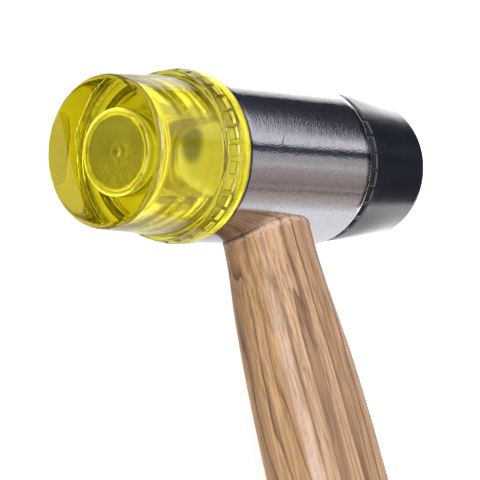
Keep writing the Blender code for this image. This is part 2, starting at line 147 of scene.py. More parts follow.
def lathe(profile, angles, shape=None, mark=None):
    """A turned bmesh about Z from points (radius, height).

    shape(r, h, a) returns the moved (r, h). mark(r, h, a) is kept per vertex as the attribute "frost".
    """
    bm = bmesh.new()
    frost = bm.verts.layers.float.new("frost")
    rings = []
    for radius, height in profile:
        ring = []
        for a in angles if radius > 1e-9 else angles[:1]:
            r, h = shape(radius, height, a) if shape else (radius, height)
            vert = bm.verts.new((r * cos(a), r * sin(a), h))
            vert[frost] = mark(radius, height, a) if mark else 0.0
            ring.append(vert)
        rings.append(ring)
    count = len(angles)
    for first, second in zip(rings, rings[1:]):
        for i in range(count):
            j = (i + 1) % count
            corners = [first[k % len(first)] for k in (i, j)] + [second[k % len(second)] for k in (j, i)]
            unique = list(dict.fromkeys(corners))
            if len(unique) > 2:
                bm.faces.new(unique)
    return bm


def even_angles(count):
    return [2 * pi * i / count for i in range(count)]


def grip_angles(grips, rib, ease):
    """Angles that give each grip recess crisp sides: close together where its wall falls."""
    side = [rib / 2 + share * ease for share in (-0.3, 0.0, 0.25, 0.5, 0.75, 1.0, 1.3)]
    shares = [0.0, *side, 0.33, 0.5, 0.67, *(1 - share for share in reversed(side))]
    return [2 * pi * (i + share) / grips for i in range(grips) for share in shares]


# ---- Materials ----


class Nodes:
    """A short way to write a material's node tree."""

    def __init__(self, name):
        self.material = bpy.data.materials.new(name)
        self.material.use_nodes = True
        self.tree = self.material.node_tree
        self.shader = self.tree.nodes["Principled BSDF"]
        self.output = self.tree.nodes["Material Output"]

    def feed(self, socket, value):
        """Links another node's output to the socket, or sets the socket's own value."""
        if isinstance(value, bpy.types.NodeSocket):
            self.tree.links.new(value, socket)
        else:
            socket.default_value = value

    def add(self, kind, inputs=None, **settings):
        node = self.tree.nodes.new(kind)
        for key, value in settings.items():
            setattr(node, key, value)
        for key, value in (inputs or {}).items():
            self.feed(node.inputs[key], value)
        return node

    def set(self, **values):
        for key, value in values.items():
            self.feed(self.shader.inputs[key.replace("_", " ")], value)

    def mapped(self, vector, kind="POINT", **values):
        """The vector through a Mapping node, whose TEXTURE kind takes it into the frame that values gives."""
        return self.add("ShaderNodeMapping", {"Vector": vector, **values}, vector_type=kind).outputs["Vector"]

    def place(self, scale=(1, 1, 1), offset=(0, 0, 0)):
        """Coordinates in the head's frame, stretched by scale."""
        world = self.add("ShaderNodeTexCoord").outputs["Object"]
        head = self.mapped(world, "TEXTURE", Location=HEAD_CENTRE, Rotation=(0, LEAN, 0))
        return self.mapped(head, Scale=scale, Location=offset)

    def parts(self, vector):
        return self.add("ShaderNodeSeparateXYZ", {"Vector": vector}).outputs

    def length(self, vector):
        return self.add("ShaderNodeVectorMath", {0: vector}, operation="LENGTH").outputs["Value"]

    def noise(self, vector, scale, detail, roughness, distortion=0.0):
        inputs = {"Vector": vector, "Scale": scale, "Detail": detail}
        inputs |= {"Roughness": roughness, "Distortion": distortion}
        return self.add("ShaderNodeTexNoise", inputs).outputs["Fac"]

    def grain(self, scale, detail, roughness, distortion=0.0, offset=(0, 0, 0)):
        """Noise in the head's frame, finer along an axis the larger its scale."""
        return self.noise(self.place(scale, offset), 1.0, detail, roughness, distortion)

    def ramp(self, fac, stops):
        node = self.add("ShaderNodeValToRGB", {"Fac": fac})
        elements = node.color_ramp.elements
        while len(elements) < len(stops):
            elements.new(0.5)
        for element, (position, color) in zip(elements, stops):
            element.position = position
            element.color = (*color, 1) if isinstance(color, tuple) else (color, color, color, 1)
        return node.outputs["Color"]

    def rise(self, fac, start, full):
        """0 up to start, 1 from full on."""
        return self.ramp(fac, ((start, 0.0), (full, 1.0)))

    def math(self, operation, a, b=0.0, clamp=False):
        return self.add("ShaderNodeMath", {0: a, 1: b}, operation=operation, use_clamp=clamp).outputs["Value"]

    def times(self, a, b, clamp=False):
        return self.math("MULTIPLY", a, b, clamp)

    def mix(self, fac, a, b, blend="MIX"):
        node = self.add("ShaderNodeMix", data_type="RGBA", blend_type=blend)
        for index, value in ((0, fac), (6, a), (7, b)):
            self.feed(node.inputs[index], (*value, 1) if isinstance(value, tuple) else value)
        return node.outputs[2]

    def attribute(self, name):
        return self.add("ShaderNodeAttribute", attribute_name=name).outputs["Fac"]

    def bump(self, height, distance, strength=1.0, before=None):
        inputs = {"Height": height, "Distance": distance, "Strength": strength}
        if before:
            inputs["Normal"] = before
        return self.add("ShaderNodeBump", inputs).outputs["Normal"]


# the tube's reach across and along, by which the chrome's dirt is placed
TUBE_REACH = 20 * MM
TUBE_LENGTH_REACH = 25 * MM


def chrome_material():
    """Bright plating over a finely ground tube: grainy where bright meets dark, dull or dirty in places, and
    darkened beside the handle by painted shade.
    """
    n = Nodes("chrome_plate")
    grain = n.grain((2300, 2100, 2300), 1.0, 0.5)
    blotch = n.grain((260, 420, 260), 2.0, 0.5)
    wave = n.noise(n.place(), 60, 2.0, 0.5)
    smudge = n.noise(n.place(offset=(3, 1, 2)), 130, 4.0, 0.6)
    height = n.bump(wave, 0.08 * MM, 0.5)
    height = n.bump(blotch, 0.03 * MM, 0.4, height)
    height = n.bump(grain, 0.024 * MM, 1.0, height)
    pitted = n.grain((2600, 1500, 2600), 2.0, 0.7, offset=(7, 7, 1))
    pits = n.ramp(pitted, ((0.36, 0.84), (0.56, 1.0)))
    # faint rubbed streaks
    lay = n.mapped(n.place(offset=(9, 2, 3)), Rotation=(0, 0, 0.1), Scale=(70, 1500, 70))
    streak = n.rise(n.noise(lay, 1.0, 1.0, 0.3), 0.76, 0.79)
    height = n.bump(streak, -0.012 * MM, 0.6, height)
    # painted shade: the plating darkened beside the handle, toward the clear face, which dims the handle's
    # reflection there
    parts = n.parts(n.place(scale=(1 / TUBE_REACH, -1 / TUBE_LENGTH_REACH, 1)))
    reflection_shade = n.times(n.rise(parts["X"], 0.80, 0.87), n.rise(parts["Y"], 0.35, 0.45))
    # dirt caught against the clear face's collar
    uneven = n.times(n.noise(n.place(offset=(4, 8, 5)), 1100, 2.0, 0.6), 0.03)
    caught = n.ramp(n.math("SUBTRACT", parts["Y"], uneven), ((0.888, 0.0), (0.898, 0.9)))
    plate = n.mix(smudge, (0.64, 0.64, 0.665), (0.73, 0.73, 0.75))
    plate = n.mix(1.0, plate, pits, "MULTIPLY")
    # the painted shade beside the handle
    plate = n.mix(n.times(reflection_shade, 0.8), plate, (0.30, 0.29, 0.29))
    n.set(
        Metallic=1.0,
        Base_Color=n.mix(caught, plate, (0.03, 0.03, 0.025)),
        Roughness=n.ramp(smudge, ((0.3, 0.03), (0.7, 0.075))),
        Normal=height,
    )
    return n.material


def steel_material(name, color, roughness):
    """Plain machined steel with turning marks and a little staining."""
    n = Nodes(name)
    marks = n.noise(n.place(scale=(1, 6, 1)), 900, 3.0, 0.7)
    stain = n.noise(n.place(), 90, 4.0, 0.6)
    dark = tuple(0.7 * c for c in color)
    n.set(
        Metallic=1.0,
        Base_Color=n.mix(stain, dark, color),
        Roughness=n.ramp(stain, ((0.3, roughness), (0.75, roughness + 0.2))),
        Normal=n.bump(marks, 0.02 * MM, 0.6),
    )
    return n.material


# an oily stain on the bulkhead: its middle, its half length and half width, and its turn about Y
STAIN_MIDDLE = (-6.9 * MM, 0, -3.7 * MM)
STAIN_SIZE = (8.6 * MM, 1.0, 4.2 * MM)
STAIN_TURN = 0.37


def plated_material():
    """Pale plating with a painted glow, most under the clear face's wall: painted light that stands in for
    the daylight that wall pipes there.
    """
    n = Nodes("pale_plating_painted_glow")
    blotch = n.noise(n.place(), 120, 3.0, 0.6)
    pale = n.mix(blotch, (0.74, 0.76, 0.74), (0.80, 0.82, 0.79))
    flat = n.place(scale=(1, 0, 1))
    stain = n.mapped(flat, "TEXTURE", Location=STAIN_MIDDLE, Rotation=(0, STAIN_TURN, 0), Scale=STAIN_SIZE)
    oil = n.times(n.ramp(n.length(stain), ((0.55, 1.0), (0.90, 0.0))), 0.88)
    # painted light: the glow's colour by distance from the head's axis
    radius = n.length(n.place(scale=(1 / TUBE_REACH, 0, 1 / TUBE_REACH)))
    under_bore, at_wall, under_wall = (0.12, 0.12, 0.10), (0.42, 0.44, 0.40), (0.95, 1.0, 0.90)
    stops = ((0.0, (0.06, 0.06, 0.05)), (0.20, under_bore), (0.34, at_wall), (0.44, under_wall))
    n.set(
        Base_Color=n.mix(oil, pale, (0.10, 0.10, 0.09)),
        Metallic=0.2,
        Roughness=0.6,
        Emission_Color=n.mix(oil, n.ramp(radius, stops), (0.0, 0.0, 0.0)),
        Emission_Strength=0.36,
    )
    return n.material


# how the attribute "frost" names the clear face's surfaces, from clear to matt
CLEAR, SPIGOT_END, BORE_WALL, BORE_FLOOR = 0.0, 0.35, 0.5, 1.0


def yellow_material():
    """Clear yellow plastic: colour from absorption in its depth, and a polished skin with moulding marks."""
    n = Nodes("clear_yellow_plastic")
    flow = n.noise(n.place(scale=(1, 0.45, 1)), 75, 2.0, 0.45)
    skin = n.noise(n.place(offset=(5, 2, 1)), 420, 3.0, 0.5)
    scuffs = n.rise(n.grain((700, 160, 260), 2.0, 0.5, 0.8, offset=(2, 2, 8)), 0.74, 0.80)
    frost = n.attribute("frost")
    # the bore floor's dark grey is painted shade: the dark inside of the head seen through the floor
    clear, matt, floor = (0.99, 0.98, 0.62), (0.96, 0.91, 0.22), (0.20, 0.21, 0.23)
    color = n.ramp(frost, ((CLEAR, clear), (SPIGOT_END, matt), (BORE_WALL, matt), (BORE_FLOOR, floor)))
    # pale smears on the bore's floor, thickest toward the handle
    drift = n.grain((520, 200, 700), 3.0, 0.7, 1.6, offset=(1, 4, 3))
    down = n.times(n.parts(n.place())["X"], 18.0)
    smear = n.ramp(n.math("ADD", drift, down), ((0.50, 0.0), (0.66, 0.40), (1.0, 0.55)))
    smear = n.times(smear, n.math("GREATER_THAN", frost, 0.9))
    color = n.mix(smear, color, (0.75, 0.74, 0.55))
    # the colour a little darker away from the handle
    darker_away = n.ramp(n.math("ADD", down, 0.5), ((0.17, 0.88), (0.62, 1.0)))
    color = n.mix(1.0, color, darker_away, "MULTIPLY")
    # dirt caught along the collar's back edge
    dirt = n.ramp(n.noise(n.place(offset=(6, 1, 7)), 900, 2.0, 0.6), ((0.30, 0.55), (0.50, 1.0)))
    dirt = n.times(dirt, n.attribute("dirt"), clamp=True)
    clarity = ((CLEAR, 1.0), (0.2, 1.0), (SPIGOT_END, 0.88), (BORE_WALL, 0.93), (BORE_FLOOR, 0.97))
    texture = ((CLEAR, 0.0), (SPIGOT_END, 0.10), (BORE_WALL, 0.06), (BORE_FLOOR, 0.45))
    height = n.bump(flow, 0.18 * MM, 0.6)
    height = n.bump(skin, 0.012 * MM, 0.5, height)
    n.set(
        Base_Color=n.mix(dirt, color, (0.13, 0.11, 0.045)),
        Transmission_Weight=n.ramp(frost, clarity),
        IOR=1.47,
        Roughness=n.math("ADD", n.ramp(scuffs, ((0.0, 0.035), (1.0, 0.14))), n.ramp(frost, texture)),
        Normal=n.bump(scuffs, 0.01 * MM, 0.3, height),
    )
    depth = n.add("ShaderNodeVolumeAbsorption", {"Color": (0.963, 0.929, 0.14, 1.0), "Density": 100.0})
    n.tree.links.new(depth.outputs["Volume"], n.output.inputs["Volume"])
    return n.material


# light grey on the sharp rims of the moulded recesses: a painted highlight where those edges catch the light
RUBBER_RIM_HIGHLIGHT = (0.13, 0.13, 0.14)


def rubber_material(name, color):
    """Satin moulded rubber with a fine skin texture, dusty specks, dull rubbed patches and painted highlights
    on the recess rims.
    """
    n = Nodes(name)
    skin = n.noise(n.place(), 2200, 3.0, 0.6)
    patch = n.noise(n.place(offset=(4, 4, 1)), 110, 4.0, 0.6)
    speck = n.rise(n.noise(n.place(offset=(9, 1, 6)), 700, 2.0, 0.6), 0.70, 0.76)
    dusty = tuple(c + 0.05 for c in color)
    base = n.mix(patch, color, tuple(1.4 * c for c in color))
    base = n.mix(n.times(speck, 0.30), base, dusty)
    n.set(
        # the rims' light grey, marked by the frost attribute, is a painted highlight
        Base_Color=n.mix(n.times(n.attribute("frost"), 0.9, clamp=True), base, RUBBER_RIM_HIGHLIGHT),
        Roughness=n.ramp(patch, ((0.3, 0.16), (0.7, 0.24))),
        Specular_IOR_Level=0.4,
        Normal=n.bump(speck, 0.02 * MM, 0.5, n.bump(skin, 0.02 * MM, 0.35)),
    )
    return n.material


# the growth rings cross the grip's section along this direction, this many to a metre
RINGS_ACROSS = (0.0, 0.65, 0.76)
RINGS_PER_METRE = 270.0


def growth_rings(n, flank):
    """A number that rises by one from ring to ring: straight lines on one flank, wavy ones on the other."""
    across = n.add("ShaderNodeVectorMath", {0: n.place(), 1: RINGS_ACROSS}, operation="DOT_PRODUCT")
    uneven = n.grain((2.2, 190, 190), 1.0, 0.4, offset=(0.3, 1, 4))
    uneven = n.times(uneven, 2.4)
    wavy = n.grain((24, 80, 80), 2.0, 0.5, offset=(2, 3, 1))
    wavy = n.times(wavy, n.math("ADD", n.times(flank, 2.6), 0.25))
    across = n.times(across.outputs["Value"], RINGS_PER_METRE)
    return n.math("ADD", across, n.math("ADD", uneven, wavy))


def tinted(color, tint):
    return tuple(c * t for c, t in zip(color, tint))


def wear_and_shade(n, color, wear):
    """The wood's colour with its rubbed ridge, its chipped edge and painted shade along the tube's edge."""
    rubbed = n.grain((160, 900, 900), 4.0, 0.75, offset=(2, 6, 1))
    amount = n.times(n.attribute("wear"), n.ramp(rubbed, ((0.38, 0.45), (0.52, 1.0))), clamp=True)
    color = n.mix(amount, color, wear)
    chipped = n.rise(n.grain((1300, 900, 900), 3.0, 0.7), 0.44, 0.54)
    chipped = n.times(n.attribute("chips"), chipped, clamp=True)
    color = n.mix(chipped, color, tuple(0.9 * w for w in wear))
    # painted shade where the handle leaves the tube
    tube_shade = n.times(n.attribute("tube_shade"), 0.9, clamp=True)
    return n.mix(tube_shade, color, (0.030, 0.020, 0.016))


def wood_material(name, pale, mid, dark, wear):
    """Open-grained hardwood along X: growth lines, fibres and pores, a painted shade tone on one flank, and
    wear and painted shade at the tube where a wear colour is given.
    """
    n = Nodes(name)
    flank = n.attribute("flank")
    rings = growth_rings(n, flank)

    # broad bands of tone, then fibres, then the dark edge of each growth ring
    tone = n.grain((4, 150, 150), 3.0, 0.55, offset=(0, 0.35, 0.2))
    color = n.ramp(tone, ((0.32, tuple(0.4 * m + 0.6 * k for m, k in zip(mid, pale))), (0.56, pale)))
    # on the flank, a darker, warmer copy of the tone: painted shade on the side away from the light
    flank_shade_tone = ((0.36, tinted(mid, (0.95, 0.90, 0.68))), (0.60, tinted(pale, (1.0, 0.95, 0.76))))
    color = n.mix(flank, color, n.ramp(tone, flank_shade_tone))
    fine = n.grain((60, 1700, 1700), 4.0, 0.7)
    color = n.mix(n.ramp(fine, ((0.42, 0.0), (0.60, 0.80))), color, tuple(0.66 * c for c in mid))
    thin_phase = n.math("FRACT", n.times(rings, 3.7))
    thin = n.ramp(thin_phase, ((0.0, 0.0), (0.10, 1.0), (0.35, 0.4), (0.8, 0.0)))
    strength = n.grain((5, 330, 330), 2.0, 0.5, offset=(7, 3, 2))
    thin = n.times(thin, n.ramp(strength, ((0.40, 0.0), (0.62, 0.40))))
    line = n.ramp(n.math("FRACT", rings), ((0.0, 0.0), (0.03, 1.0), (0.11, 0.80), (0.30, 0.0)))
    gone = n.grain((9, 160, 160), 2.0, 0.5, offset=(5, 2, 9))
    line = n.times(line, n.ramp(gone, ((0.36, 0.30), (0.55, 1.0))))
    color = n.mix(thin, color, dark)
    color = n.mix(n.times(line, 0.85), color, dark)
    pores = n.rise(n.grain((90, 2500, 2500), 2.0, 0.55, 0.3, offset=(3, 1, 1)), 0.63, 0.70)
    color = n.mix(n.times(pores, 0.45), color, dark)
    if wear:
        color = wear_and_shade(n, color, wear)
    grooves = n.math("ADD", n.times(pores, -1.0), n.times(line, -0.6))
    n.set(
        Base_Color=color,
        Roughness=n.ramp(fine, ((0.3, 0.50), (0.7, 0.66))),
        Specular_IOR_Level=0.3,
        Normal=n.bump(grooves, 0.09 * MM, 0.8, n.bump(fine, 0.06 * MM, 0.6)),
    )
    return n.material


# ---- Head tube ----


# the squareness of a plain ellipse
ELLIPSE = 2.0


def oval_ring(bm, x, wide, thick, squareness, sides, move=None):
    """Vertices round the handle's axis at x, moved by move(point, angle)."""
    power = 2.0 / squareness
    ring = []
    for i in range(sides):
        a = 2 * pi * i / sides
        c, s = cos(a), sin(a)
        y = wide * abs(c) ** power * (1 if c >= 0 else -1)
        z = thick * abs(s) ** power * (1 if s >= 0 else -1)
        point = Vector((x, y, z))
        ring.append(bm.verts.new(move(point, a) if move else point))
    return ring


def bridge(bm, first, second):
    count = len(first)
    for i in range(count):
        j = (i + 1) % count
        bm.faces.new((first[i], first[j], second[j], second[i]))


def cut(obj, build, place):
    """Cuts away the closed shape that build makes, and leaves a plain mesh."""
    bm = bmesh.new()
    build(bm)
    bmesh.ops.recalc_face_normals(bm, faces=bm.faces)
    mesh = bpy.data.meshes.new("cutter")
    bm.to_mesh(mesh)
    bm.free()
    mesh.transform(place)
    cutter = new_object("cutter", mesh)
    modifier = obj.modifiers.new("cut", "BOOLEAN")
    modifier.operation = "DIFFERENCE"
    modifier.solver = "EXACT"
    modifier.object = cutter
    graph = bpy.context.evaluated_depsgraph_get()
    result = bpy.data.meshes.new_from_object(obj.evaluated_get(graph))
    obj.modifiers.clear()
    old = obj.data
    result.name = old.name
    obj.data = result
    bpy.data.meshes.remove(old)
    bpy.data.objects.remove(cutter)
    bpy.data.meshes.remove(mesh)


def make_head_tube(material, end_material):
    """The tube with rounded ends, pale plating with a painted glow under the clear face, and the handle's eye
    through both walls.
    """
    outer, inner, end = TUBE_RADIUS, BORE_RADIUS, TUBE_HALF_LENGTH
    lip = 0.4 * MM
    bevel = 0.3 * MM
    outline = arc((outer - lip, end - lip), lip, pi / 2, 0, 5)
    outline += arc((outer - lip, -end + lip), lip, 0, -pi / 2, 5)
    outline += [(inner + bevel, -end), (inner, -end + bevel), (inner, end - bevel), (inner + bevel, end)]
    outline.append(outline[0])
    bm = lathe(refined(outline, 2.0 * MM), even_angles(240))
    bmesh.ops.remove_doubles(bm, verts=bm.verts, dist=SAME_PLACE)
    for face in bm.faces:
        if face.calc_center_median().z < -end + 0.02 * MM:
            face.material_index = 1
    tube = bm_object("head_tube_shell", bm, along_head(1), [material, end_material])

    def eye(bm):
        reach = 1.3 * outer
        wide, thick = NECK_WIDE + EYE_GAP, NECK_THICK + EYE_GAP
        rings = [oval_ring(bm, x, wide, thick, ELLIPSE, 120) for x in (-reach, reach)]
        bridge(bm, *rings)
        bm.faces.new(rings[0])
        bm.faces.new(rings[1])

    cut(tube, eye, HEAD)
    tube.data.shade_smooth()
    tube.data.set_sharp_from_angle(angle=radians(40))
    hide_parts("head_tube")
    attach(tube, "mallet")


SCRATCH_STEPS = 12
SCRATCH_LIFT = 0.006 * MM
# scratches in the plating: (angle, place along the head) of both ends in degrees and mm, and half width in mm
SCRATCHES = (
    ((88.5, -10.1), (73.5, -12.5), 0.14),
    ((74.8, -11.5), (70.5, -9.6), 0.08),
    ((73.2, -12.6), (69.5, -10.8), 0.06),
)


def make_scratches(material):
    """Thin tapering marks that lie in the plating."""
    for number, (start, end, half) in enumerate(SCRATCHES):
        bm = bmesh.new()
        rows = []
        for i in range(SCRATCH_STEPS + 1):
            t = i / SCRATCH_STEPS
            a = radians(start[0] + (end[0] - start[0]) * t)
            y = (start[1] + (end[1] - start[1]) * t + 0.12 * sin(7 * t)) * MM
            wide = half * MM * (sin(pi * t) ** 0.6 + 0.05)
            radius = TUBE_RADIUS + SCRATCH_LIFT
            rows.append([bm.verts.new((radius * cos(a), y + k * wide, radius * sin(a))) for k in (-1, 1)])
        for first, second in zip(rows, rows[1:]):
            bm.faces.new((first[0], first[1], second[1], second[0]))
        mark = bm_object(f"tube_scratch_{number}", bm, HEAD, [material])
        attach(mark, "mallet")


# ---- Faces ----

SPIGOT_RADIUS = 16.5 * MM
GROOVE = (21.9 * MM, 23.5 * MM)
GROOVE_DEPTH = 0.7 * MM
THREAD_PITCH = 2.0 * MM
THREAD_HEIGHT = 0.7 * MM
THREAD_SPAN = (17.0 * MM, 21.7 * MM)
GRIP_RIM = 0.05 * MM


def spigot_outline(bore_radius, mouth):
    """From the collar's back over the O-ring groove and the thread to the bore's mouth, bevelled by mouth."""
    deep = SPIGOT_RADIUS - GROOVE_DEPTH
    ease = 0.1 * MM
    start = SPIGOT_START
    points = [(SPIGOT_RADIUS + 0.3 * MM, COLLAR_START), (SPIGOT_RADIUS, COLLAR_START - 0.2 * MM)]
    points += [(SPIGOT_RADIUS, GROOVE[1]), (deep, GROOVE[1] - ease)]
    points += [(deep, GROOVE[0] + ease), (SPIGOT_RADIUS, GROOVE[0])]
    points += refined([(SPIGOT_RADIUS, THREAD_SPAN[1]), (SPIGOT_RADIUS, THREAD_SPAN[0])], 0.17 * MM)
    points += [(SPIGOT_RADIUS - 0.4 * MM, start), (bore_radius + mouth, start), (bore_radius, start + mouth)]
    return points


def thread_lift(h, a):
    """Height of the helical thread over the spigot at height h and angle a."""
    low, high = THREAD_SPAN
    turns = (high - low) / THREAD_PITCH
    turn_in = (h - low) / THREAD_PITCH
    ridge = between(0.2, 0.8, 0.2, (turn_in - a / (2 * pi)) % 1.0)
    fade = smooth(0.0, 0.5, turn_in) * (1 - smooth(turns - 0.4, turns, turn_in))
    return THREAD_HEIGHT * ridge * fade


def recess_depth(grips, rib, ease, zone, edge, h, a):
    """0 outside the grip recesses, 1 on their floors. rib and ease are shares of the pitch."""
    share = (a * grips / (2 * pi)) % 1.0
    return between(rib / 2, 1 - rib / 2, ease, share) * between(zone[0], zone[1], edge, h)


def face_shape(grips, rib, zone, depth, ease, edge):
    """Moves a face's surface in at the grip recesses, up at their moulded rims, and out along the thread."""
    low, high = zone

    def shape(r, h, a):
        if low <= h <= high and r > SPIGOT_RADIUS + 1.0 * MM:
            inside = recess_depth(grips, rib, ease, zone, edge, h, a)
            rim = 4 * inside * (1 - inside)
            return r - depth * inside + GRIP_RIM * rim, h
        if abs(r - SPIGOT_RADIUS) < 0.01 * MM and THREAD_SPAN[0] <= h <= THREAD_SPAN[1]:
            return r + thread_lift(h, a), h
        return r, h

    return shape


def zone_rows(low, high, edge):
    """Heights that give a recess crisp ends."""
    upper = [high, high - 0.5 * edge, high - edge, (2 * high + low) / 3]
    return upper + [(high + 2 * low) / 3, low + edge, low + 0.5 * edge, low]


# the yellow face's bore: its radius, and how far out its rim and its floor lie
YELLOW_BORE = (10.2 * MM, 44.6 * MM, 43.3 * MM)
# that floor inside its raised rim, with the moulding gate's ring and pip: radius and height over it, in mm
YELLOW_GATE = (
    (8.35, 0.05), (8.0, 0.0), (5.2, 0.0), (2.6, -0.05), (2.2, -0.22),
    (1.8, -0.05), (0.9, -0.02), (0.6, -0.35), (0.0, -0.45),
)
# the yellow collar's leading lip and its plain back part: radius and height along the head, in mm
YELLOW_LIP = ((18.68, 31.62), (18.95, 31.5), (19.45, 31.42), (19.72, 31.3), (19.84, 31.1))
YELLOW_BACK = ((20.50, 27.7), (20.57, 27.3), (20.59, 25.8))


def in_mm(points, foot=0.0):
    return [(r * MM, foot + h * MM) for r, h in points]


def yellow_frost(r, h, _a):
    """Which surface of the clear face a vertex lies on."""
    bore, rim, _floor = YELLOW_BORE
    if r < 8.4 * MM and h < YELLOW_END - 1 * MM:
        return BORE_FLOOR
    if r < bore + 0.5 * MM and h < rim - 0.5 * MM:
        return BORE_WALL
    if h < COLLAR_START + 0.1 * MM:
        return SPIGOT_END
    return CLEAR


def make_yellow_face(material):
    edge = 1.3 * MM
    end_radius = 17.67 * MM
    barrel = 18.65 * MM
    zone = (28.0 * MM, 30.7 * MM)
    grips = 32
    rib = 0.20
    ease = 0.05
    wall = 0.18 * MM
    outline = [(0.0, YELLOW_END)]
    outline += refined([(0.4 * MM, YELLOW_END), (end_radius - edge, YELLOW_END)], 2.5 * MM)
    outline += list(reversed(arc((end_radius - edge, YELLOW_END - edge), edge, 0, pi / 2, 7)))
    outline += refined([(end_radius, YELLOW_END - edge), (barrel, 31.9 * MM)], 2.5 * MM)[1:]
    outline += in_mm(YELLOW_LIP)
    for h in zone_rows(zone[0], zone[1], wall):
        share = (zone[1] - h) / (zone[1] - zone[0])
        outline.append(((19.90 + 0.50 * share) * MM, h))
    outline += in_mm(YELLOW_BACK)
    outline += [(20.59 * MM, COLLAR_START + 1.0 * MM)]
    outline += arc((20.19 * MM, COLLAR_START + 0.4 * MM), 0.4 * MM, 0, -pi / 2, 4)
    outline += [(18.5 * MM, COLLAR_START)]
    bore, rim, floor = YELLOW_BORE
    outline += spigot_outline(bore, 0.07 * MM)
    outline += refined([(bore, SPIGOT_START + 0.5 * MM), (bore, rim - 1.0 * MM)], 3 * MM)
    outline += arc((bore - 1.0 * MM, rim - 1.0 * MM), 1.0 * MM, 0, pi / 2, 7)[1:]
    outline += [(8.85 * MM, rim - 0.1 * MM), (8.6 * MM, floor + 0.35 * MM)]
    outline += in_mm(YELLOW_GATE, floor)
    shape = face_shape(grips, rib, zone, 0.32 * MM, ease, wall)
    bm = lathe(outline, grip_angles(grips, rib, ease), shape, yellow_frost)
    dirt = bm.verts.layers.float.new("dirt")
    for vert in bm.verts:
        at_edge = Vector((vert.co.x, vert.co.y)).length > 19.0 * MM and vert.co.z < COLLAR_START + 0.5 * MM
        vert[dirt] = 1.0 if at_edge else 0.0
    face = bm_object("yellow_face_shell", bm, along_head(-1), [material], sharp=radians(75))
    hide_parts("yellow_face")
    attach(face, "yellow_face")


# the moulding's flow line just under the striking face, as (x, z) in mm from the head's axis
FLOW_LINE = (
    (-15.2, 5.6), (-13.8, 1.3), (-12.3, -0.5), (-9.8, -3.6), (-6.5, -6.9), (-2.4, -7.6),
    (3.2, -8.8), (7.3, -9.5), (9.9, -9.0), (12.2, -8.5),
)
FLOW_DEPTH = 0.06 * MM


def make_flow_line(material):
    """A thin jagged seam in the plastic where two flows met."""
    steps = 14
    y = -(YELLOW_END - FLOW_DEPTH)

    def grain(x, z, scale, seed):
        return noise.noise(Vector((scale * x, scale * z, seed)))

    bm = bmesh.new()
    rows = []
    for (x0, z0), (x1, z1) in zip(FLOW_LINE, FLOW_LINE[1:]):
        side = Vector((z1 - z0, 0, x0 - x1)).normalized()
        for i in range(steps):
            t = i / steps
            x, z = x0 + (x1 - x0) * t, z0 + (z1 - z0) * t
            jag = 0.34 * grain(x, z, 1.7, 4.0) + 0.26 * grain(x, z, 6, 1.0)
            fade = 1 - 0.6 * smooth(-9.0, 2.0, x)
            wide = fade * (0.03 + 0.20 * max(0.0, grain(x, z, 2.3, 9.0) + 0.15))
            centre = Vector((x, 0, z)) + side * jag
            ends = (centre - side * wide, centre + side * wide)
            rows.append([bm.verts.new((end.x * MM, y, end.z * MM)) for end in ends])
    for first, second in zip(rows, rows[1:]):
        bm.faces.new((first[0], first[1], second[1], second[0]))
    seam = bm_object("face_flow_line", bm, HEAD, [material])
    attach(seam, "yellow_face")


def flow_line_material():
    n = Nodes("moulding_flow_line_painted_glow")
    fleck = n.noise(n.place(), 900, 2.0, 0.6)
    n.set(
        Base_Color=n.mix(fleck, (0.95, 0.90, 0.42), (0.80, 0.72, 0.18)),
        Roughness=0.4,
        # a painted glow that makes the seam read bright
        Emission_Color=(1.0, 0.92, 0.35, 1.0),
        Emission_Strength=0.12,
    )
    return n.material


def make_black_face(material):
    edge = 3.6 * MM
    end_radius = 17.3 * MM
    collar = 19.1 * MM
    zone = (24.9 * MM, 27.5 * MM)
    grips = 27
    rib = 0.17
    ease = 0.035
    wall = 0.18 * MM
    outline = [(0.0, BLACK_END)]
    outline += refined([(0.4 * MM, BLACK_END), (end_radius - edge, BLACK_END)], 3 * MM)
    outline += list(reversed(arc((end_radius - edge, BLACK_END - edge), edge, 0, pi / 2, 12)))
    outline += refined([(end_radius, BLACK_END - edge), (collar - 0.03 * MM, 27.8 * MM)], 2.5 * MM)[1:]
    outline += [(collar, h) for h in zone_rows(zone[0], zone[1], wall)]
    outline += [(collar, COLLAR_START + 0.5 * MM)]
    outline += arc((collar - 0.35 * MM, COLLAR_START + 0.35 * MM), 0.35 * MM, 0, -pi / 2, 4)
    outline += [(18.0 * MM, COLLAR_START)]
    bore, bottom = 11.0 * MM, 40.2 * MM
    outline += spigot_outline(bore, 0.4 * MM)
    outline += refined([(bore, SPIGOT_START + 0.5 * MM), (bore, bottom - 0.5 * MM)], 4 * MM)
    outline += [(bore - 0.5 * MM, bottom), (0.0, bottom)]
    shape = face_shape(grips, rib, zone, 0.65 * MM, ease, wall)

    # how much of the rims' painted highlight each vertex gets, kept as the frost attribute
    def rim(r, h, a):
        if r < SPIGOT_RADIUS + 1.0 * MM or not zone[0] < h < zone[1]:
            return 0.0
        inside = recess_depth(grips, rib, ease, zone, wall, h, a)
        return 4 * inside * (1 - inside)

    bm = lathe(outline, grip_angles(grips, rib, ease), shape, rim)
    face = bm_object("black_face_shell", bm, along_head(1), [material], sharp=radians(60))
    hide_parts("black_face")
    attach(face, "black_face")


def make_o_rings(material):
    radius, thickness, seat = 16.6 * MM, 0.5 * MM, 22.7 * MM
    section = arc((radius, seat), thickness, 0, 2 * pi, 16)
    rings = ((-1, "yellow_face_o_ring", "yellow_ring"), (1, "black_face_o_ring", "black_ring"))
    for side, name, body in rings:
        bm = lathe(section, even_angles(160))
        bmesh.ops.remove_doubles(bm, verts=bm.verts, dist=SAME_PLACE)
        ring = bm_object(name + "_round", bm, along_head(side), [material])
        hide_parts(name)
        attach(ring, body)


# ---- Handle ----

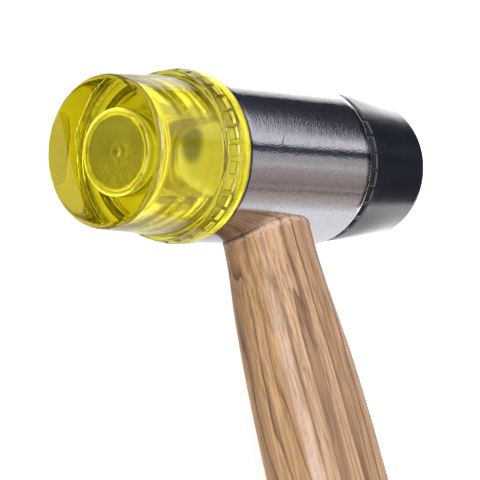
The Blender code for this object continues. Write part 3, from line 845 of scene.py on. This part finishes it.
HANDLE_TOP = -17.6 * MM
HANDLE_BUTT = 280.0 * MM
# distance along the handle, half width, half thickness, squareness of the section
HANDLE_STATIONS = (
    (20.5, 11.9, 10.0, 2.0),
    (26.0, 12.1, 10.2, 2.0),
    (36.0, 12.9, 10.9, 2.1),
    (48.0, 13.8, 11.6, 2.2),
    (60.0, 14.4, 11.9, 2.3),
    (76.0, 14.8, 12.1, 2.4),
    (110.0, 15.2, 12.3, 2.4),
    (150.0, 14.7, 12.2, 2.4),
    (190.0, 14.4, 12.1, 2.4),
    (230.0, 15.6, 12.7, 2.4),
    (262.0, 16.8, 13.3, 2.4),
    (274.0, 16.6, 13.1, 2.4),
)
BUTT_ROUND = 3.0
BUTT_STEPS = 8
TOP_BEVEL = 0.3
# the grip's middle stands off the head's axis by this much (Y, Z) in mm where it is fullest
GRIP_OFFSET = (-0.3, -0.35)


def grip_middle(x):
    """Where the middle of the handle's section lies at x (in mm)."""
    share = max(0.0, min(1.0, (x - 20.5) / 15.5, (190 - x) / 80))
    return Vector((0, GRIP_OFFSET[0] * share * MM, GRIP_OFFSET[1] * share * MM))


def hermite(stations, x):
    """The section at x (in mm): smooth through the stations."""
    if x <= stations[0][0]:
        return stations[0][1:]
    for i, (first, second) in enumerate(zip(stations, stations[1:])):
        if x > second[0]:
            continue
        before = stations[max(i - 1, 0)]
        after = stations[min(i + 2, len(stations) - 1)]
        span = second[0] - first[0]
        t = (x - first[0]) / span
        values = []
        for k in range(1, len(first)):
            m0 = span * (second[k] - before[k]) / (second[0] - before[0])
            m1 = span * (after[k] - first[k]) / (after[0] - first[0])
            values.append(
                (2 * t**3 - 3 * t**2 + 1) * first[k]
                + (t**3 - 2 * t**2 + t) * m0
                + (-2 * t**3 + 3 * t**2) * second[k]
                + (t**3 - t**2) * m1
            )
        return tuple(values)
    return stations[-1][1:]


def handle_rows():
    """Distances along the handle in mm: close where it leaves the tube and where the butt rounds off."""
    rows = [HANDLE_TOP / MM]
    x = rows[0] + TOP_BEVEL
    for end, step in ((15, 2.4), (32, 0.5), (276, 2.5)):
        while x < end:
            rows.append(x)
            x += step
    last = HANDLE_STATIONS[-1]
    butt = HANDLE_BUTT / MM
    sections = [(row, *hermite(HANDLE_STATIONS, row)) for row in rows if row < butt - BUTT_ROUND]
    top = sections[0]
    sections[0] = (top[0], top[1] - TOP_BEVEL, top[2] - TOP_BEVEL, top[3])
    for i in range(BUTT_STEPS + 1):
        angle = pi / 2 * i / BUTT_STEPS
        inset = BUTT_ROUND * (1 - cos(angle))
        sections.append((butt - BUTT_ROUND * (1 - sin(angle)), last[1] - inset, last[2] - inset, last[3]))
    return sections


# the angle of the grip's worn corner ridge about its axis
CORNER = radians(149.5)
HANDLE_SIDES = 144


def uneven(point, a):
    """The handle's surface beyond the tube: off the axis, with hand-shaped lumps, facets and a rough edge."""
    along = point.x / MM
    if along < 19:
        return point
    free = smooth(19.0, 40.0, along)
    radial = Vector((0, cos(a), sin(a)))
    lump = noise.noise(Vector((along / 45, 2.2 * cos(a), 2.2 * sin(a)))) * 0.22 * free
    fuzz = noise.noise(Vector((along / 1.1, 14 * cos(a), 14 * sin(a)))) * 0.10
    fuzz *= between(17.0, 27.0, 3.0, along)
    facet = -0.16 * free * (1 - abs(cos(2 * (a - CORNER)))) ** 2
    # shrunk a little, so that the lumps stay inside the CAD's bounds
    shrunk = -0.01 * free
    return point + grip_middle(along) + radial * (lump + fuzz + facet + shrunk) * MM


def handle_marks(x, a, z):
    """The flank with wavy grain and painted shade, the rubbed ridge, the chipped edge and the painted shade
    at the tube, at x (in mm) and angle a.
    """
    drift = 0.10 * noise.noise(Vector((x / 60, 3.0, 1.0)))
    offset = abs((a - CORNER - drift + pi) % (2 * pi) - pi)
    half = 0.07 + 0.08 * smooth(50, 130, x)
    core = (1 - smooth(0.6 * half, 1.25 * half, offset)) * (0.22 + 0.78 * smooth(50, 120, x))
    core *= smooth(24, 40, x)
    # distance from the tube's wall, which the handle leaves along a saddle
    saddle = x - (TUBE_RADIUS**2 - z**2) ** 0.5 / MM
    ragged = max(0.0, 1.0 + 1.8 * noise.noise(Vector((5.0, 9 * cos(a), 9 * sin(a)))))
    # the painted shade at the tube is strongest on the side away from the light
    shade_strength = 0.20 + 0.80 * smooth(2.1, 3.0, a)
    return {
        "flank": smooth(-0.10, 0.12, a - CORNER - drift) * (1 - smooth(1.9, 2.3, a - CORNER)),
        "wear": min(1.0, 0.25 * max(0.0, 1 - offset / 0.22) * smooth(22, 45, x) + 0.85 * core),
        "chips": 0.62 * between(0.05, 0.9 + 0.9 * ragged, 0.7, saddle),
        "tube_shade": shade_strength * (1.0 - smooth(-0.2, 0.2 + 0.7 * shade_strength, saddle)),
    }


def make_handle(material):
    """An oval lofted bar with a soft corner ridge, hand-shaped unevenness and wear."""
    bm = bmesh.new()
    layers = {name: bm.verts.layers.float.new(name) for name in ("wear", "tube_shade", "flank", "chips")}
    rings = []
    for x, wide, thick, squareness in handle_rows():
        ring = oval_ring(bm, x * MM, wide * MM, thick * MM, squareness, HANDLE_SIDES, uneven)
        for i, vert in enumerate(ring):
            for name, value in handle_marks(x, 2 * pi * i / HANDLE_SIDES, vert.co.z).items():
                vert[layers[name]] = value
        rings.append(ring)
    for first, second in zip(rings, rings[1:]):
        bridge(bm, first, second)
    bm.faces.new(rings[0])
    bm.faces.new(rings[-1])
    handle = bm_object("handle_wood", bm, HEAD, [material], sharp=radians(50))
    cut_wedge_slots(handle)
    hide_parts("handle")
    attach(handle, "mallet")


def box_between(bm, low, high, tip_share, axis):
    """A box from low to high whose far end in X is narrowed to tip_share along axis: a wedge."""
    made = bmesh.ops.create_cube(bm, size=1.0)["verts"]
    for vert in made:
        far = vert.co.x > 0
        place = Vector([low[k] + (vert.co[k] + 0.5) * (high[k] - low[k]) for k in range(3)])
        if far:
            centre = (low[axis] + high[axis]) / 2
            place[axis] = centre + (place[axis] - centre) * tip_share
        vert.co = place


def cut_wedge_slots(handle):
    """Room in the handle's top for the wooden wedge, and across it for the two steel ones."""
    top = HANDLE_TOP - 1 * MM
    kerf_end, kerf_wide, kerf_thick = 8.0 * MM, 13 * MM, 1.85 * MM
    slot_end, slot_wide, slot_thick = HANDLE_TOP + 11.3 * MM, 1.5 * MM, 6.5 * MM

    def kerf(bm):
        box_between(bm, (top, -kerf_wide, -kerf_thick), (kerf_end, kerf_wide, kerf_thick), 0.35, 2)

    def slot(offset):
        def build(bm):
            low = (top, offset - slot_wide, -slot_thick)
            high = (slot_end, offset + slot_wide, slot_thick)
            box_between(bm, low, high, 0.4, 1)

        return build

    for build in (kerf, slot(-5.4 * MM), slot(5.4 * MM)):
        cut(handle, build, HEAD)


# ---- Inner pieces ----


def make_shot(material):
    """Round balls in place of the coarse ones."""
    pattern = bmesh.new()
    radius = 3.0 * MM
    bmesh.ops.create_icosphere(pattern, subdivisions=4, radius=radius)
    for name in sorted(node for node in NODES if node.startswith("shot_ball")):
        bm = pattern.copy()
        ball = bm_object(name + "_round", bm, Matrix.Translation(middle(name)), [material])
        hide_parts(name)
        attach(ball, "shot")
    pattern.free()


def finish_cad_nodes(materials):
    for name, material in materials.items():
        mesh = NODES[name].data
        mesh.materials.clear()
        mesh.materials.append(material)


# ---- Stage: floor, cards, lights and camera ----


def emission(name, color, strength):
    material = bpy.data.materials.new(name)
    material.use_nodes = True
    tree = material.node_tree
    tree.nodes.clear()
    glow = tree.nodes.new("ShaderNodeEmission")
    glow.inputs["Color"].default_value = (*color, 1)
    glow.inputs["Strength"].default_value = strength
    output = tree.nodes.new("ShaderNodeOutputMaterial")
    tree.links.new(glow.outputs["Emission"], output.inputs["Surface"])
    return material


def floor_material(name, glow):
    n = Nodes(name)
    speck = n.noise(n.place(), 300, 3.0, 0.5)
    n.set(
        Base_Color=n.mix(speck, (0.93, 0.93, 0.935), (0.95, 0.95, 0.95)),
        Roughness=0.7,
        Specular_IOR_Level=0.2,
        Emission_Color=(1.0, 1.0, 1.0, 1.0),
        Emission_Strength=glow,
    )
    return n.material


def mirrored_floor_material():
    """The floor as shiny pieces see it: bright where the black face looks, dimmer where the tube does."""
    n = Nodes("floor_mirrored")
    parts = n.parts(n.place())
    beyond = n.math("SUBTRACT", parts["Y"], 30 * MM)
    azimuth = n.math("DIVIDE", n.math("ARCTAN2", beyond, parts["X"]), pi, clamp=True)
    low, strip, back = (0.31, 0.305, 0.315), (1.0, 1.0, 1.0), (0.50, 0.50, 0.50)
    n.set(
        Base_Color=(0.0, 0.0, 0.0, 1.0),
        Roughness=1.0,
        Specular_IOR_Level=0.0,
        Emission_Color=n.ramp(azimuth, ((0.320, low), (0.350, strip), (0.670, strip), (0.695, back))),
        Emission_Strength=3.1,
    )
    return n.material


def floor_disc(name, height, material):
    """A wide flat stage piece."""
    bm = bmesh.new()
    bmesh.ops.create_circle(bm, cap_ends=True, segments=96, radius=6.0)
    floor = bm_object(name, bm, Matrix.Translation((0, 0, height)), [material])
    return floor


def make_floor():
    """A backlit white sheet that the camera sees, over those that light the mallet and show in it."""
    seen = floor_disc("floor_seen", -0.1 * MM, floor_material("floor_seen", 0.68))
    bounce = floor_disc("floor_bounce", -0.4 * MM, floor_material("floor_bounce", 0.10))
    mirrored = floor_disc("floor_mirrored", -0.3 * MM, mirrored_floor_material())
    through = floor_disc("floor_through", -0.2 * MM, floor_material("floor_through", 0.10))
    for floor in (seen, bounce, mirrored, through):
        floor.visible_camera = floor is seen
        floor.visible_diffuse = floor is bounce
        floor.visible_glossy = floor is mirrored
        floor.visible_transmission = floor is through
        floor.visible_shadow = False


# What the tube mirrors beyond the black face: (angle about the head's axis in degrees, counted from the
# handle's side up over the top, colour there).
CARD_BANDS = (
    (5, (0.80, 0.74, 0.75)),
    (9, (0.66, 0.60, 0.59)),
    (18, (0.52, 0.45, 0.41)),
    (26, (0.40, 0.33, 0.32)),
    (28.5, (0.38, 0.31, 0.30)),
    (29.2, (0.10, 0.07, 0.07)),
    (30.6, (0.10, 0.07, 0.07)),
    (31.3, (0.38, 0.31, 0.30)),
    (36, (0.40, 0.33, 0.32)),
    (38, (0.28, 0.23, 0.22)),
    (49, (0.39, 0.31, 0.31)),
    (58, (0.42, 0.36, 0.36)),
    (66, (0.58, 0.55, 0.55)),
    (72, (0.45, 0.43, 0.45)),
    (80, (0.42, 0.41, 0.44)),
    (82.5, (0.055, 0.065, 0.08)),
    (91.5, (0.055, 0.065, 0.08)),
    (93.5, (0.74, 0.72, 0.76)),
    (106, (0.77, 0.75, 0.80)),
    (116, (0.55, 0.53, 0.58)),
    (121, (0.25, 0.245, 0.285)),
    (127, (0.12, 0.12, 0.15)),
    (136, (0.045, 0.048, 0.065)),
    (172, (0.034, 0.035, 0.043)),
)
CARD_DISTANCE = 1.6
# how many degrees the card's rows stand off the head's axis: its dim rows, then those with the full paint
CARD_DIM_ROWS = (6, 31.5)
CARD_DIM = 0.1
CARD_FULL_ROWS = (34.5, 35.5, 36.5, 37.5, 38.5, 39.5, 41, 62)
CARD_ROWS = (*((row, CARD_DIM) for row in CARD_DIM_ROWS), *((row, 1.0) for row in CARD_FULL_ROWS))
CARD_STEP = 0.5
# Between these angles the card's bands slant: they shift by this much per degree off the straight row.
CARD_SLANT_SPAN = (93.5, 120.0)
CARD_SLANT = 7.0
CARD_STRAIGHT_ROW = 39.1
CARD_SLANT_MOST = 20.0


def band_color(angle):
    for (start, first), (end, second) in zip(CARD_BANDS, CARD_BANDS[1:]):
        if angle <= end:
            t = (angle - start) / (end - start)
            return tuple(a + (b - a) * t for a, b in zip(first, second))
    return CARD_BANDS[-1][1]


def slanted(angle, row):
    """The angle whose band is painted at angle in the row that far off the axis, both in degrees."""
    if row < CARD_FULL_ROWS[0]:
        return angle
    shift = CARD_SLANT * (CARD_STRAIGHT_ROW - row)
    shift = max(-CARD_SLANT_MOST, min(CARD_SLANT_MOST, shift))
    return angle + shift * smooth(*CARD_SLANT_SPAN, angle)


def hide_from_all_but_mirrors(obj):
    obj.visible_camera = False
    obj.visible_diffuse = False
    obj.visible_transmission = False
    obj.visible_shadow = False


def make_cards():
    """One curved painted card beyond the black face, seen only by reflection."""
    bm = bmesh.new()
    paint = bm.verts.layers.float_color.new("paint")
    rings = []
    angle = CARD_BANDS[0][0]
    while angle <= CARD_BANDS[-1][0]:
        a = radians(angle)
        ring = []
        for row, share in CARD_ROWS:
            opening = radians(row)
            direction = Vector((sin(opening) * cos(a), cos(opening), sin(opening) * sin(a)))
            vert = bm.verts.new(direction * CARD_DISTANCE)
            vert[paint] = (*(share * c for c in band_color(slanted(angle, row))), 1.0)
            ring.append(vert)
        rings.append(ring)
        angle += CARD_STEP
    for first, second in zip(rings, rings[1:]):
        for k in range(len(CARD_ROWS) - 1):
            bm.faces.new((first[k], first[k + 1], second[k + 1], second[k]))
    material = emission("painted_card", (1, 1, 1), 1.0)
    tree = material.node_tree
    source = tree.nodes.new("ShaderNodeAttribute")
    source.attribute_name = "paint"
    tree.links.new(source.outputs["Color"], tree.nodes["Emission"].inputs["Color"])
    hide_from_all_but_mirrors(bm_object("painted_card", bm, HEAD, [material]))


def make_flag():
    """A black flag flat before the yellow face, which keeps the white floor's glare off it."""
    low, high = (-0.24, -0.34), (-0.04, -0.064)
    bm = bmesh.new()
    corners = ((low[0], low[1]), (high[0], low[1]), (high[0], high[1]), (low[0], high[1]))
    bm.faces.new([bm.verts.new((x, y, 0.5 * MM)) for x, y in corners])
    material = emission("black_flag", (0.02, 0.02, 0.02), 1.0)
    hide_from_all_but_mirrors(bm_object("face_flag", bm, Matrix(), [material]))


def area_light(name, azimuth, elevation, distance, size, power):
    data = bpy.data.lights.new(name, "AREA")
    data.shape = "RECTANGLE"
    data.size, data.size_y = size
    data.energy = power
    light = bpy.data.objects.new(name, data)
    bpy.context.scene.collection.objects.link(light)
    a, e = radians(azimuth), radians(elevation)
    direction = Vector((sin(a) * cos(e), -cos(a) * cos(e), sin(e)))
    light.location = HEAD_CENTRE + direction * distance
    light.rotation_euler = direction.to_track_quat("Z", "Y").to_euler()


def make_lights():
    area_light("key_soft_box", -5, 64, 1.4, (0.9, 0.9), 22.0)
    area_light("fill_soft_box", 60, 40, 1.6, (1.2, 0.8), 9.0)
    world = bpy.data.worlds.new("studio")
    bpy.context.scene.world = world
    world.use_nodes = True
    background = world.node_tree.nodes["Background"]
    background.inputs["Color"].default_value = (0.98, 0.98, 1.0, 1)
    background.inputs["Strength"].default_value = 0.85


# The camera looks at the head from the handle's side of the yellow face, rolled so that the head lies level.
VIEW_AZIMUTH = 15.76
VIEW_ELEVATION = 36.42
VIEW_ROLL = 66.17
VIEW_DISTANCE = 559.7 * MM
VIEW_LENS = 173.3
AIM_RIGHT = -1.84 * MM
AIM_UP = -19.06 * MM


def make_camera():
    a, e, roll = radians(VIEW_AZIMUTH), radians(VIEW_ELEVATION), radians(VIEW_ROLL)
    back = Vector((sin(a) * cos(e), -cos(a) * cos(e), sin(e)))
    level = Vector((cos(a), sin(a), 0))
    upright = back.cross(level)
    right = level * cos(roll) + upright * sin(roll)
    up = back.cross(right)
    turn = Matrix((right, up, back)).transposed().to_4x4()
    place = HEAD @ Matrix.Translation(right * AIM_RIGHT + up * AIM_UP + back * VIEW_DISTANCE) @ turn
    data = bpy.data.cameras.new("camera")
    data.lens = VIEW_LENS
    data.sensor_width = 36.0
    data.clip_start = 0.01
    camera = bpy.data.objects.new("camera", data)
    camera.matrix_world = place
    bpy.context.scene.collection.objects.link(camera)
    bpy.context.scene.camera = camera


WOOD_PALE = (0.38, 0.232, 0.135)
WOOD_MID = (0.26, 0.145, 0.076)
WOOD_DARK = (0.070, 0.028, 0.012)
WOOD_WORN = (0.47, 0.37, 0.315)


def main():
    chrome = chrome_material()
    steel = steel_material("plain_steel", (0.50, 0.50, 0.51), 0.30)
    shot_steel = steel_material("shot_steel", (0.60, 0.60, 0.62), 0.16)
    plated = plated_material()
    yellow = yellow_material()
    rubber = rubber_material("black_rubber", (0.0055, 0.0065, 0.0100))
    ring_rubber = rubber_material("ring_rubber", (0.02, 0.02, 0.02))
    wood = wood_material("handle_wood", WOOD_PALE, WOOD_MID, WOOD_DARK, WOOD_WORN)
    wedge_wood = wood_material("wedge_wood", (0.66, 0.47, 0.29), (0.50, 0.32, 0.18), (0.24, 0.13, 0.07), None)

    make_head_tube(chrome, plated)
    make_scratches(steel_material("scratched_plate", (0.10, 0.10, 0.11), 0.45))
    make_yellow_face(yellow)
    make_flow_line(flow_line_material())
    make_black_face(rubber)
    make_o_rings(ring_rubber)
    make_handle(wood)
    make_shot(shot_steel)
    finish_cad_nodes({
        "eye_sleeve": steel,
        "yellow_bulkhead": plated,
        "black_bulkhead": steel,
        "shot_cup": steel,
        "steel_wedge_left": steel,
        "steel_wedge_right": steel,
        "wooden_wedge": wedge_wood,
    })
    make_floor()
    make_cards()
    make_flag()
    make_lights()
    make_camera()
    bpy.context.scene.view_settings.view_transform = "Standard"


main()
